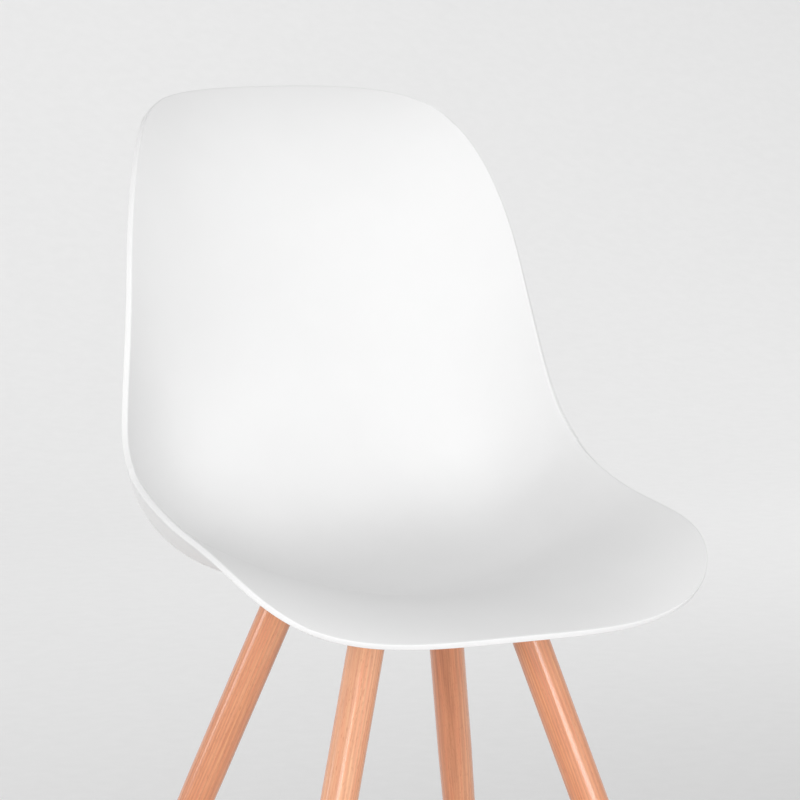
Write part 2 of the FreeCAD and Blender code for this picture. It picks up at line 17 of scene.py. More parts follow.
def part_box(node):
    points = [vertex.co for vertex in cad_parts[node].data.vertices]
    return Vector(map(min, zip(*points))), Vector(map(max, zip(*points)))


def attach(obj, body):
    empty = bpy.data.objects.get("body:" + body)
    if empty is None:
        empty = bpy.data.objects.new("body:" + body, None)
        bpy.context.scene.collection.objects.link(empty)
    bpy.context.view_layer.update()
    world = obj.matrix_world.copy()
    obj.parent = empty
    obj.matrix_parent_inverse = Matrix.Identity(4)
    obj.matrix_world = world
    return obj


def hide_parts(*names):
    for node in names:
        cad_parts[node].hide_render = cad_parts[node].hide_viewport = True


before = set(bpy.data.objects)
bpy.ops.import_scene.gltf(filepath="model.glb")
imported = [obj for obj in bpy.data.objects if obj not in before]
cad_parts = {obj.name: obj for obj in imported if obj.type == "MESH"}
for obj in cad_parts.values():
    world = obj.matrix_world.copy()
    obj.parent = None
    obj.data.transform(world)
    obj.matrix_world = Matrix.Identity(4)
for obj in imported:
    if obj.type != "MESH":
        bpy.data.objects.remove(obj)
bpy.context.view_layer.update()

MM = 0.001

# %% [markdown]
# ## The camera
#
# A long lens from a few metres away, a little higher than the back and looking slightly down,
# gives the calm perspective of a product picture. The view is stated as a distance, a height and
# three angles, so that it can be read and changed.

# %% Camera
FRAME_PIXELS = 800
SENSOR_MM = 36


def make_camera(azimuth, distance, height, focal_pixels, pan, pitch, centre_y):
    """Camera on a circle around the chair; azimuth is counted from the chair's front."""
    data = bpy.data.cameras.new("camera")
    data.sensor_width = SENSOR_MM
    data.lens = focal_pixels / FRAME_PIXELS * SENSOR_MM
    camera = bpy.data.objects.new("camera", data)
    around = math.radians(azimuth)
    camera.location = (math.sin(around) * distance, centre_y - math.cos(around) * distance, height)
    camera.rotation_euler = (math.radians(90 - pitch), 0, math.radians(azimuth + pan))
    bpy.context.scene.collection.objects.link(camera)
    bpy.context.scene.camera = camera
    place = tuple(round(value, 3) for value in camera.location)
    print(f"camera at {place}, {data.lens:.1f} mm lens")
    return camera


make_camera(azimuth=-27, distance=3.2762, height=1.0272, focal_pixels=3984.6,
            pan=-0.102, pitch=7.27, centre_y=-0.012)

# %% [markdown]
# ## Helpers for materials
#
# Colours are written as sRGB hex values, the way a paint or plastic maker's chart gives them, and
# one function turns them into the linear numbers that the shader works in. One more function adds
# a node with its settings and its links; every material below is made with these two.


# %% Colour and node helpers
def linear(hex_value):
    """Linear RGBA of an sRGB hex colour such as 'd9a47c'."""
    channels = [int(hex_value[place:place + 2], 16) / 255 for place in (0, 2, 4)]
    return [c / 12.92 if c <= 0.04045 else ((c + 0.055) / 1.055) ** 2.4 for c in channels] + [1.0]


def add(tree, kind, inputs=None, **settings):
    """Add a node: settings are its properties, inputs are values or sockets to link from."""
    node = tree.nodes.new(kind)
    for name, value in settings.items():
        setattr(node, name, value)
    for name, value in (inputs or {}).items():
        if isinstance(value, bpy.types.NodeSocket):
            tree.links.new(value, node.inputs[name])
        else:
            node.inputs[name].default_value = value
    return node


def new_material(name):
    """Empty material with its output, and its node tree."""
    material = bpy.data.materials.new(name)
    material.use_nodes = True
    material.node_tree.nodes.clear()
    return material, material.node_tree


def finish(tree, shader):
    add(tree, "ShaderNodeOutputMaterial", {"Surface": shader.outputs[0]})


def ramp(tree, factor, stops):
    """Colour ramp from (place, hex) stops."""
    node = add(tree, "ShaderNodeValToRGB", {"Fac": factor})
    elements = node.color_ramp.elements
    while len(elements) < len(stops):
        elements.new(0.5)
    for element, (place, colour) in zip(elements, stops):
        element.position = place
        element.color = linear(colour)
    return node.outputs["Color"]


# %% [markdown]
# ## The studio
#
# A product like this is shown on a paper sweep: a pale floor that curves up into a wall
# with no corner, so that nothing behind the chair draws a line. It is one extruded profile.

# %% Paper sweep
SWEEP_HALF_WIDTH, SWEEP_FRONT, SWEEP_BACK, SWEEP_RADIUS, SWEEP_TOP = 9.0, -6.0, 3.0, 3.8, 7.0


def sweep_profile(steps=24):
    """Side view of the sweep from front to top, as (y, z) points."""
    turns = [math.pi / 2 * step / steps for step in range(steps + 1)]
    curve = [(SWEEP_BACK + SWEEP_RADIUS * math.sin(turn), SWEEP_RADIUS * (1 - math.cos(turn)))
             for turn in turns]
    return [(SWEEP_FRONT, 0.0)] + curve + [(SWEEP_BACK + SWEEP_RADIUS, SWEEP_TOP)]


def mesh_object(name, points, faces, smooth=True):
    """New object at the origin with its place in its mesh."""
    mesh = bpy.data.meshes.new(name)
    mesh.from_pydata([tuple(point) for point in points], [], [tuple(face) for face in faces])
    mesh.polygons.foreach_set("use_smooth", [smooth] * len(mesh.polygons))
    mesh.validate()
    mesh.update()
    piece = bpy.data.objects.new(name, mesh)
    bpy.context.scene.collection.objects.link(piece)
    return piece


def make_sweep():
    profile = sweep_profile()
    points = [(x, y, z) for y, z in profile for x in (-SWEEP_HALF_WIDTH, SWEEP_HALF_WIDTH)]
    faces = [(2 * row, 2 * row + 1, 2 * row + 3, 2 * row + 2) for row in range(len(profile) - 1)]
    sweep = mesh_object("paper_sweep", points, faces)
    material, tree = new_material("matt background paper")
    # Uncoated paper: next to no gloss, and a hardly visible mottle from its pulp.
    place = add(tree, "ShaderNodeTexCoord").outputs["Object"]
    pulp = add(tree, "ShaderNodeTexNoise", {"Vector": place, "Scale": 40.0, "Detail": 4.0})
    colour = ramp(tree, pulp.outputs["Fac"], [(0.3, "e9e9e9"), (0.7, "ebebeb")])
    finish(tree, add(tree, "ShaderNodeBsdfPrincipled",
                     {"Base Color": colour, "Roughness": 1.0, "Specular IOR Level": 0.1}))
    sweep.data.materials.append(material)


make_sweep()

# %% [markdown]
# ## Light
#
# White plastic on a pale ground only shows its form through soft changes of grey. A wide soft box
# from the front left does most of the work, and a pale world keeps the shadows open. No box hangs
# over the chair, so that the seat stays greyer than the back. The fill from the right is weak, low
# and side boxes reach the legs, and two more face the paper.

# %% Lights
def soft_box(name, place, aim, size, watts):
    data = bpy.data.lights.new(name, "AREA")
    data.shape = "RECTANGLE"
    data.size, data.size_y = size
    data.energy = watts
    light = bpy.data.objects.new(name, data)
    light.location = place
    light.rotation_euler = (Vector(aim) - Vector(place)).to_track_quat("-Z", "Y").to_euler()
    bpy.context.scene.collection.objects.link(light)


def make_world(strength):
    world = bpy.data.worlds.new("studio")
    world.use_nodes = True
    background = world.node_tree.nodes["Background"]
    background.inputs["Color"].default_value = (1, 1, 1, 1)
    background.inputs["Strength"].default_value = strength
    bpy.context.scene.world = world


soft_box("key", place=(-2.6, -3.3, 1.25), aim=(0, 0.1, 0.6), size=(1.6, 1.8), watts=57)
soft_box("fill", place=(3.0, -3.0, 1.6), aim=(0, 0, 0.6), size=(1.8, 1.8), watts=4)
# A long low box opens the shade under the seat and puts the bright line on the front rim.
soft_box("low", place=(0.5, -3.7, 0.35), aim=(0, 0, 0.42), size=(2.6, 0.5), watts=31)
# A weak box from the left and behind lifts the outside of the shell and the shaded legs.
soft_box("side", place=(-3.2, 0.9, 0.7), aim=(0, 0, 0.45), size=(1.2, 1.2), watts=16)
# Two more boxes stand above the chair and face the paper; the chair is behind their faces.
for side in (-1, 1):
    soft_box("backdrop", place=(3.0 * side, 1.0, 2.6), aim=(2.4 * side, 6.0, 2.1),
             size=(2.4, 1.0), watts=60 - 4 * side)
make_world(0.66)
bpy.context.scene.view_settings.view_transform = "Standard"

# %% [markdown]
# ## The shell's surface
#
# The seat and back are one sheet of plastic about five millimetres thick. Its middle surface is
# set by ten cross-sections along a centre line that runs from the front lip, over the seat and up
# the back. Each section has a half width, a height of its two wings, and a number that says how
# late the wings turn up. A smooth curve carries each of these sizes from section to section.

# %% Sections of the shell
# name: y, height, half width, wing height (all mm), and the wings' form
SECTIONS = {
    "lip": (-235, 445, 222, -11, -0.05),
    "nose": (-205, 454, 221, 14, 0.10),
    "thigh": (-133, 461, 217, 47, -0.10),
    "seat": (-46, 448, 213, 77, 0.15),
    "hip": (46, 450, 211, 96, 0.75),
    "bend": (109, 475, 210, 102, 1.40),
    "loin": (158, 547, 207, 95, 1.10),
    "waist": (169, 647, 194, 76, 0.45),
    "shoulder": (185, 768, 180, 58, 0.00),
    "top": (235, 857, 196, 80, 0.70),
}
WALL = 5.5
LIP_CORNER, LIP_SQUARE = 130, 2.7
TOP_CORNER, TOP_SQUARE = 179, 2.4


class SmoothCurve:
    """Cubic spline through values at given places, for one number or several at once.

    Its slope at each end is that of the cubic through the four values next to the end.
    """

    def __init__(self, places, values):
        self.places = np.asarray(places, float)
        self.values = np.asarray(values, float)
        count, gaps = len(self.places), np.diff(self.places)
        steps = np.diff(self.values, axis=0)
        system, wanted = np.zeros((count, count)), np.zeros_like(self.values)
        for row in range(1, count - 1):
            before, after = gaps[row - 1], gaps[row]
            system[row, row - 1:row + 2] = after, 2 * (before + after), before
            wanted[row] = 3 * (steps[row - 1] * after / before + steps[row] * before / after)
        system[0, 0] = system[-1, -1] = 1
        wanted[0] = self.end_slope(slice(0, 4), self.places[0])
        wanted[-1] = self.end_slope(slice(-4, None), self.places[-1])
        self.slopes = np.linalg.solve(system, wanted)

    def end_slope(self, part, end):
        return np.polyfit(self.places[part] - end, self.values[part], 3)[2]

    def __call__(self, at):
        """Value and slope at each place."""
        at = np.clip(np.asarray(at, float), self.places[0], self.places[-1])
        left = np.clip(np.searchsorted(self.places, at, side="right") - 1, 0, len(self.places) - 2)
        gap = self.places[left + 1] - self.places[left]
        share = (at - self.places[left]) / gap
        if self.values.ndim > 1:
            gap, share = gap[..., None], share[..., None]
        low, high = self.values[left], self.values[left + 1]
        low_slope, high_slope = self.slopes[left] * gap, self.slopes[left + 1] * gap
        square, cube = share ** 2, share ** 3
        value = (low * (2 * cube - 3 * square + 1) + high * (3 * square - 2 * cube)
                 + low_slope * (cube - 2 * square + share) + high_slope * (cube - square))
        slope = (low * (6 * square - 6 * share) + high * (6 * share - 6 * square)
                 + low_slope * (3 * square - 4 * share + 1) + high_slope * (3 * square - 2 * share))
        return value, slope / gap


# %% Middle surface of the shell
class Shell:
    """Middle surface, by length along the centre line and distance across, in mm."""

    def __init__(self):
        table = np.array(list(SECTIONS.values()), float)
        chords = np.linalg.norm(np.diff(table[:, :2], axis=0), axis=1)
        knots = np.concatenate([[0], np.cumsum(chords)])
        self.line = SmoothCurve(knots, table[:, :2])
        self.fine = np.linspace(0, knots[-1], 4001)
        points, _ = self.line(self.fine)
        runs = np.linalg.norm(np.diff(points, axis=0), axis=1)
        self.lengths = np.concatenate([[0], np.cumsum(runs)])
        self.length = self.lengths[-1]
        stations = np.interp(knots, self.fine, self.lengths)
        self.half, self.wing, self.flat = (SmoothCurve(stations, column) for column in table.T[2:])

    def point(self, along, across):
        centre, way = self.line(np.interp(along, self.lengths, self.fine))
        way = way / np.linalg.norm(way, axis=-1, keepdims=True)
        beyond = along - np.clip(along, 0, self.length)
        centre = centre + way * beyond[..., None]
        flat, out = self.flat(along)[0], (across / self.half(along)[0]) ** 2
        rise = self.wing(along)[0] * ((1 - flat) * out + flat * out ** 2)
        return np.stack([across, centre[..., 0] - way[..., 1] * rise,
                         centre[..., 1] + way[..., 0] * rise], axis=-1)

    def normal(self, along, across, step=0.4):
        run = self.point(along + step, across) - self.point(along - step, across)
        side = self.point(along, across + step) - self.point(along, across - step)
        square = np.cross(side, run)
        return square / np.linalg.norm(square, axis=-1, keepdims=True)


shell = Shell()
print(f"the shell's centre line is {shell.length:.1f} mm long")

# %% [markdown]
# ## A grid that follows the rim
#
# The outline has long sides and four rounded corners, each a superellipse: rounder than a square
# and squarer than an ellipse. A plain grid of rows and columns would be cut off by the corners, so
# the grid's own four corners sit half way round the outline's corners, and its inner lines are
# blended between the four edges. Every face is then a healthy four-sided one.


# %% Outline and blended grid
def quarter(length, squareness, turns):
    """Superellipse corner: share of the way back from the end, and share of the half width."""
    power = 2 / squareness
    return length * (1 - np.cos(turns) ** power), np.sin(turns) ** power


def end_edge(steps, lip):
    """Front or top edge of the outline, from its left corner's middle to its right one's."""
    length, squareness = (LIP_CORNER, LIP_SQUARE) if lip else (TOP_CORNER, TOP_SQUARE)
    across = np.linspace(-1, 1, steps + 1) * math.pi / 4
    eased = np.sign(across) * (np.abs(across) / (math.pi / 4)) ** (squareness / 2) * math.pi / 4
    back, out = quarter(length, squareness, np.abs(eased))
    along = back if lip else shell.length - back
    return along, np.sign(across) * out * shell.half(along)[0]


def side_edge(steps, sign):
    """Long edge of the outline, from the middle of the front corner to that of the top one."""
    fine = np.linspace(math.pi / 4, math.pi / 2, 200)
    front, front_out = quarter(LIP_CORNER, LIP_SQUARE, fine)
    top, top_out = quarter(TOP_CORNER, TOP_SQUARE, fine[::-1])
    middle = np.linspace(LIP_CORNER, shell.length - TOP_CORNER, 300)[1:-1]
    along = np.concatenate([front, middle, shell.length - top])
    out = np.concatenate([front_out, np.ones(len(middle)), top_out])
    across = sign * out * shell.half(along)[0]
    runs = np.hypot(np.diff(along), np.diff(across))
    travelled = np.concatenate([[0], np.cumsum(runs)])
    even = np.linspace(0, travelled[-1], steps + 1)
    return np.interp(even, travelled, along), np.interp(even, travelled, across)


def blended_grid(columns, rows):
    """Along and across values of a grid inside the outline (a Coons patch)."""
    front, top = np.array(end_edge(columns, True)), np.array(end_edge(columns, False))
    left, right = np.array(side_edge(rows, -1)), np.array(side_edge(rows, 1))
    s = np.linspace(0, 1, columns + 1)[None, None, :]
    t = np.linspace(0, 1, rows + 1)[None, :, None]
    ends = (1 - t) * front[:, None, :] + t * top[:, None, :]
    sides = (1 - s) * left[:, :, None] + s * right[:, :, None]
    corners = ((1 - t) * ((1 - s) * front[:, None, :1] + s * front[:, None, -1:])
               + t * ((1 - s) * top[:, None, :1] + s * top[:, None, -1:]))
    return ends + sides - corners


# %% [markdown]
# ## Wall, rim and bosses
#
# The mould closes on a wall of even thickness, so the two faces of the sheet are the middle
# surface moved half a wall each way. The rim is a narrow band between them with rounded edges,
# as the parting line of the mould leaves it after trimming.

# %% Shell mesh
COLUMNS, ROWS = 116, 210
RIM_ROUND = 1.2
ROUND_STEPS = 4


def border_order(columns, rows):
    """Row and column of each grid point on the border, in order around it."""
    front = [(0, column) for column in range(columns)]
    right = [(row, columns) for row in range(rows)]
    top = [(rows, column) for column in range(columns, 0, -1)]
    left = [(row, 0) for row in range(rows, 0, -1)]
    return front + right + top + left


def shell_mesh():
    along, across = blended_grid(COLUMNS, ROWS)
    middle, normal = shell.point(along, across), shell.normal(along, across)
    border = border_order(COLUMNS, ROWS)
    rim = np.array([middle[place] for place in border])
    rim_normal = np.array([normal[place] for place in border])
    tangent = np.roll(rim, -1, axis=0) - np.roll(rim, 1, axis=0)
    inward = np.cross(rim_normal, tangent)
    inward /= np.linalg.norm(inward, axis=1, keepdims=True)
    half = WALL / 2
    points, faces = [], []
    starts = {}
    for side in (1, -1):
        skin = middle + normal * half * side
        for place, way in zip(border, inward):
            skin[place] += way * RIM_ROUND
        starts[side] = len(points)
        points += list(skin.reshape(-1, 3))
    turns = [math.pi / 2 * step / ROUND_STEPS for step in range(1, ROUND_STEPS + 1)]
    rounding = [(half - RIM_ROUND + RIM_ROUND * math.cos(turn), RIM_ROUND * (1 - math.sin(turn)))
                for turn in turns]
    rings = [[starts[1] + row * (COLUMNS + 1) + column for row, column in border]]
    for over, inset in rounding + [(-over, inset) for over, inset in reversed(rounding)]:
        ring = rim + rim_normal * over + inward * inset
        rings.append(list(range(len(points), len(points) + len(ring))))
        points += list(ring)
    rings.append([starts[-1] + row * (COLUMNS + 1) + column for row, column in border])
    for side, start in starts.items():
        for row in range(ROWS):
            for column in range(COLUMNS):
                first = start + row * (COLUMNS + 1) + column
                face = (first, first + 1, first + COLUMNS + 2, first + COLUMNS + 1)
                faces.append(face if side > 0 else face[::-1])
    for upper, lower in zip(rings, rings[1:]):
        for number in range(len(border)):
            after = (number + 1) % len(border)
            faces.append((upper[number], lower[number], lower[after], upper[after]))
    return np.array(points) * MM, faces, middle


shell_points, shell_faces, shell_middle = shell_mesh()
print(len(shell_faces), "faces in the shell")

# %% [markdown]
# Under the seat the moulder adds four round bosses that take brass inserts, and thin ribs between
# them. They are part of the same plastic piece. Their upper ends follow the middle of the wall, so
# that nothing shows through on the sitter's side. Three things are still wrong here: the walls of
# the bosses face inwards, although their ends face outwards; all faces of the ribs face inwards;
# and the ribs run on to the middle of each bore, where the insert sits.

# %% Bosses and ribs
BOSS_SEGMENTS, BOSS_RADIUS, BOSS_BORE_DEPTH, BOSS_BREAK = 40, 10.0, 13.0, 0.6
RIB_THICK, RIB_RISE, RIB_STEPS = 3.0, 5.0, 24


def centre_and_foot(node):
    """Middle of a node's box in plan, and its lowest height, in mm."""
    low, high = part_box(node)
    return (low[0] + high[0]) / 2 / MM, (low[1] + high[1]) / 2 / MM, low[2] / MM


def wall_height(x, y):
    """Height of the middle surface over a place under the seat."""
    seat = shell_middle[:ROWS // 2].reshape(-1, 3)
    distance = np.hypot(seat[:, 0] - x, seat[:, 1] - y)
    near = np.argsort(distance)[:6]
    weight = 1 / (distance[near] + 0.5)
    return float((seat[near, 2] * weight).sum() / weight.sum())


def boss(x, y, foot, bore):
    """Tube with a blind bore, open at its foot and ending inside the seat's wall."""
    turns = [2 * math.pi * step / BOSS_SEGMENTS for step in range(BOSS_SEGMENTS)]
    rings = []
    for out, height in ((bore, foot + BOSS_BORE_DEPTH), (bore, foot),
                        (BOSS_RADIUS - BOSS_BREAK, foot), (BOSS_RADIUS, foot + BOSS_BREAK),
                        (BOSS_RADIUS, None)):
        ring = []
        for turn in turns:
            px, py = x + out * math.cos(turn), y + out * math.sin(turn)
            ring.append((px, py, wall_height(px, py) if height is None else height))
        rings.append(ring)
    points = [point for ring in rings for point in ring]
    faces = []
    for row in range(len(rings) - 1):
        for step in range(BOSS_SEGMENTS):
            after = (step + 1) % BOSS_SEGMENTS
            low, high = row * BOSS_SEGMENTS, (row + 1) * BOSS_SEGMENTS
            faces.append((low + step, low + after, high + after, high + step))
    faces.append(tuple(range(BOSS_SEGMENTS)))
    last = (len(rings) - 1) * BOSS_SEGMENTS
    faces.append(tuple(range(last, last + BOSS_SEGMENTS))[::-1])
    return points, [face[::-1] for face in faces]


def rib(start, end, foot):
    """Thin upright wall between two places, its top inside the seat's wall."""
    way = (Vector(end) - Vector(start)).normalized()
    side = Vector((-way.y, way.x)) * RIB_THICK / 2
    points = []
    for step in range(RIB_STEPS + 1):
        place = Vector(start).lerp(Vector(end), step / RIB_STEPS)
        for x, y in ((place + side), (place - side)):
            points += [(x, y, foot), (x, y, wall_height(x, y))]
    faces = [(0, 1, 3, 2)]
    for step in range(RIB_STEPS):
        a, b = 4 * step, 4 * step + 4
        faces += [(a, b, b + 1, a + 1), (a + 2, a + 3, b + 3, b + 2),
                  (a, a + 2, b + 2, b), (a + 1, b + 1, b + 3, a + 3)]
    faces.append((b, b + 2, b + 3, b + 1))
    return points, faces


def joined(points, faces, new_points, new_faces):
    """Two meshes as one; the new points come in mm."""
    first = len(points)
    points = np.vstack([points, np.array(new_points) * MM])
    return points, faces + [tuple(first + number for number in face) for face in new_faces]


def add_bosses(points, faces):
    """Append the bosses and ribs to the shell's mesh, each placed from its insert's node."""
    places = {}
    for end in ("front", "rear"):
        for side in ("left", "right"):
            low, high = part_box(f"boss_insert_{end}_{side}")
            x, y, foot = centre_and_foot(f"boss_insert_{end}_{side}")
            places[end, side] = (x, y)
            bore = (high[0] - low[0]) / 2 / MM
            points, faces = joined(points, faces, *boss(x, y, foot, bore))
    spans = [(("front", "left"), ("front", "right")), (("rear", "left"), ("rear", "right")),
             (("front", "left"), ("rear", "left")), (("front", "right"), ("rear", "right"))]
    for start, end in spans:
        points, faces = joined(points, faces, *rib(places[start], places[end], foot + RIB_RISE))
    return points, faces


shell_points, shell_faces = add_bosses(shell_points, shell_faces)
shell_piece = mesh_object("shell", shell_points, shell_faces)
shell_piece.data.set_sharp_from_angle(angle=math.radians(50))
print(len(shell_piece.data.polygons), "faces with bosses and ribs")

# %% [markdown]
# ## Plastic of the shell
#
# Polypropylene, injection moulded in a spark-eroded mould, with a neutral white pigment. The
# surface is satin: a broad soft gloss, with a texture of about half a millimetre that can hardly
# be seen but breaks up the highlights, and faint cloudy flow marks a few centimetres across. Its
# IOR is 1.49.

# %% Moulded polypropylene
def moulded_polypropylene():
    material, tree = new_material("moulded polypropylene, spark-eroded satin")
    place = add(tree, "ShaderNodeTexCoord").outputs["Object"]
    flow = add(tree, "ShaderNodeTexNoise", {"Vector": place, "Scale": 9.0, "Detail": 3.0})
    colour = ramp(tree, flow.outputs["Fac"], [(0.3, "e8e8e8"), (0.7, "ebebeb")])
    gloss = add(tree, "ShaderNodeMapRange", {"Value": flow.outputs["Fac"], "From Min": 0.3,
                                             "From Max": 0.7, "To Min": 0.54, "To Max": 0.62})
    # Half a millimetre is 2000 pits in a metre. It is drawn at 900, about the finest that shows.
    pits = add(tree, "ShaderNodeTexNoise", {"Vector": place, "Scale": 900.0, "Detail": 2.0})
    grain = add(tree, "ShaderNodeBump", {"Height": pits.outputs["Fac"], "Strength": 0.10,
                                         "Distance": 0.0004})
    finish(tree, add(tree, "ShaderNodeBsdfPrincipled", {
        "Base Color": colour, "Roughness": gloss.outputs["Result"], "IOR": 1.49,
        "Normal": grain.outputs["Normal"]}))
    return material


shell_piece.data.materials.append(moulded_polypropylene())
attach(shell_piece, "root")
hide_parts("seat_shell")

# %% [markdown]
# ## Lacquered beech
#
# The legs are turned from beech with its grain running along them, then stained a little warm and
# sprayed with clear lacquer. Beech is plain at a distance: pale orange-brown, faint growth lines
# that are two to three millimetres apart, and up close the short dark dashes of its rays. The
# pattern is a solid one in the space of the blank that each leg was turned from, so it runs
# through the wood, and every leg comes from another part of the plank.

# %% Beech
def lacquered_beech():
    material, tree = new_material("turned beech, satin lacquer")
    blank = add(tree, "ShaderNodeAttribute", attribute_name="blank").outputs["Vector"]
    slow = add(tree, "ShaderNodeMapping", {"Vector": blank, "Scale": (28.0, 28.0, 1.6)})
    figure = add(tree, "ShaderNodeTexNoise", {"Vector": slow.outputs[0], "Scale": 1.0,
                                              "Detail": 3.0, "Distortion": 0.4})
    # Growth lines every two to three millimetres across the blank, wavering slowly along it.
    across = add(tree, "ShaderNodeMapping", {"Vector": blank, "Scale": (1.0, 0.35, 0.06)})
    lines = add(tree, "ShaderNodeTexWave", {"Vector": across.outputs[0], "Scale": 118.0,
                                            "Distortion": 7.0, "Detail": 3.0, "Detail Scale": 0.6},
                wave_type="BANDS", bands_direction="X")
    # Fibres: about a millimetre wide and 45 mm long, with finer ones inside them.
    long_way = add(tree, "ShaderNodeMapping", {"Vector": blank, "Scale": (900.0, 900.0, 22.0)})
    fibres = add(tree, "ShaderNodeTexNoise", {"Vector": long_way.outputs[0], "Scale": 1.0,
                                              "Detail": 4.0, "Roughness": 0.6})
    # Rays: short dark dashes, the peaks of a pattern 0.8 mm wide and 4 mm long.
    ray_way = add(tree, "ShaderNodeMapping", {"Vector": blank, "Scale": (1300.0, 1300.0, 230.0)})
    rays = add(tree, "ShaderNodeTexNoise", {"Vector": ray_way.outputs[0], "Scale": 1.0,
                                            "Detail": 0.0})
    dashes = add(tree, "ShaderNodeMapRange", {"Value": rays.outputs["Fac"], "From Min": 0.66,
                                              "From Max": 0.72, "To Min": 0.0, "To Max": 1.0})
    base = ramp(tree, figure.outputs["Fac"], [(0.3, "d4855a"), (0.5, "e1976d"), (0.7, "eba981")])
    lined = add(tree, "ShaderNodeMix", {"Factor": 0.15}, data_type="RGBA", blend_type="MULTIPLY")
    tree.links.new(base, lined.inputs["A"])
    tree.links.new(lines.outputs["Color"], lined.inputs["B"])
    fibred = add(tree, "ShaderNodeMix", {"Factor": 0.5}, data_type="RGBA", blend_type="OVERLAY")
    tree.links.new(lined.outputs["Result"], fibred.inputs["A"])
    tree.links.new(fibres.outputs["Fac"], fibred.inputs["B"])
    dashed = add(tree, "ShaderNodeMix", data_type="RGBA", blend_type="MIX")
    weak = add(tree, "ShaderNodeMath", {0: dashes.outputs["Result"], 1: 0.30}, operation="MULTIPLY")
    tree.links.new(weak.outputs[0], dashed.inputs["Factor"])
    tree.links.new(fibred.outputs["Result"], dashed.inputs["A"])
    dashed.inputs["B"].default_value = linear("b0714b")
    pores = add(tree, "ShaderNodeBump", {"Height": fibres.outputs["Fac"], "Strength": 0.06,
                                         "Distance": 0.0003})
    # The lacquer is a thin clear coat, IOR 1.5, over wood that is itself rather dull.
    finish(tree, add(tree, "ShaderNodeBsdfPrincipled", {
        "Base Color": dashed.outputs["Result"], "Roughness": 0.5, "IOR": 1.5,
        "Coat Weight": 1.0, "Coat Roughness": 0.12, "Normal": pores.outputs["Normal"]}))
    return material


# %% [markdown]
# ## A lathe in Geometry Nodes
#
# Legs and glides are turned pieces: one profile, spun about an axis. That is a rule, so Geometry
# Nodes can do the turner's work. The profile is drawn as a line of edges in a small mesh; the tree
# sweeps it around a small circle, closes its poles, remembers where each point was in the blank
# for the grain, and sets the piece down at its place with its lean. One tree makes all the pieces.

# %% Lathe tree
def lathe_tree():
    tree = bpy.data.node_groups.new("lathe", "GeometryNodeTree")
    tree.interface.new_socket("Profile", in_out="INPUT", socket_type="NodeSocketGeometry")
    names = {}
    for name, kind in (("Spindle", "NodeSocketFloat"), ("Sides", "NodeSocketInt"),
                       ("Place in Plank", "NodeSocketVector"), ("Top", "NodeSocketVector"),
                       ("Lean", "NodeSocketRotation"), ("Material", "NodeSocketMaterial")):
        names[name] = tree.interface.new_socket(name, in_out="INPUT", socket_type=kind).identifier
    tree.interface.new_socket("Piece", in_out="OUTPUT", socket_type="NodeSocketGeometry")
    given = add(tree, "NodeGroupInput").outputs
    drawn = add(tree, "GeometryNodeMeshToCurve", {"Mesh": given["Profile"]})
    circle = add(tree, "GeometryNodeCurvePrimitiveCircle",
                 {"Resolution": given["Sides"], "Radius": given["Spindle"]})
    spun = add(tree, "GeometryNodeCurveToMesh",
               {"Curve": circle.outputs["Curve"], "Profile Curve": drawn.outputs["Curve"]})
    closed = add(tree, "GeometryNodeMergeByDistance",
                 {"Geometry": spun.outputs["Mesh"], "Distance": 0.00002})
    position = add(tree, "GeometryNodeInputPosition")
    blank = add(tree, "ShaderNodeVectorMath",
                {0: position.outputs[0], 1: given["Place in Plank"]}, operation="ADD")
    kept = add(tree, "GeometryNodeStoreNamedAttribute",
               {"Geometry": closed.outputs[0], "Name": "blank", "Value": blank.outputs[0]},
               data_type="FLOAT_VECTOR", domain="POINT")
    # The attribute goes in first: its places are those of the blank, before the piece leans.
    placed = add(tree, "GeometryNodeTransform", {
        "Geometry": kept.outputs[0], "Translation": given["Top"], "Rotation": given["Lean"]})
    real = add(tree, "GeometryNodeRealizeInstances", {"Geometry": placed.outputs[0]})
    done = add(tree, "GeometryNodeSetMaterial",
               {"Geometry": real.outputs[0], "Material": given["Material"]})
    add(tree, "NodeGroupOutput", {"Piece": done.outputs[0]})
    return tree, names


LATHE, LATHE_INPUTS = lathe_tree()
SPINDLE = 0.00001


def turned(name, profile, top, axis, material, place_in_plank=(0, 0, 0), sides=72):
    """Turned piece as a plain mesh: profile points are (radius, height) in mm from its top."""
    # The sweep draws the profile downwards, so heights are counted down here.
    points = [(radius * MM - SPINDLE, -height * MM, 0) for radius, height in profile]
    drawing = bpy.data.meshes.new(name)
    drawing.from_pydata(points, [(n, n + 1) for n in range(len(points) - 1)], [])
    lathe = bpy.data.objects.new(name, drawing)
    bpy.context.scene.collection.objects.link(lathe)
    modifier = lathe.modifiers.new("lathe", "NODES")
    modifier.node_group = LATHE
    values = {"Spindle": SPINDLE, "Sides": sides, "Place in Plank": place_in_plank,
              "Top": tuple(top), "Lean": tuple(leaned(axis)), "Material": material}
    for label, value in values.items():
        modifier[LATHE_INPUTS[label]] = value
    depsgraph = bpy.context.evaluated_depsgraph_get()
    mesh = bpy.data.meshes.new_from_object(lathe.evaluated_get(depsgraph))
    lathe.modifiers.clear()
    lathe.data = mesh
    mesh.set_sharp_from_angle(angle=math.radians(40))
    return lathe


def leaned(axis):
    """Turn that takes Z to the axis and keeps the leg's outer side towards its X."""
    across = Vector((0, 0, 1)).cross(axis).normalized()
    out = across.cross(axis)
    return Matrix((out, across, axis)).transposed().to_euler()


def volume_mm3(piece):
    """Signed volume; a plus sign means that the faces point outwards."""
    shape = bmesh.new()
    shape.from_mesh(piece.data)
    volume = shape.calc_volume(signed=True)
    shape.free()
    return volume * 1e9


# %% [markdown]
# The place and lean of each leg are those of its CAD node: the middles of its two end circles. The
# CAD gives the size and the place; the lathe gives an even mesh and the grain.

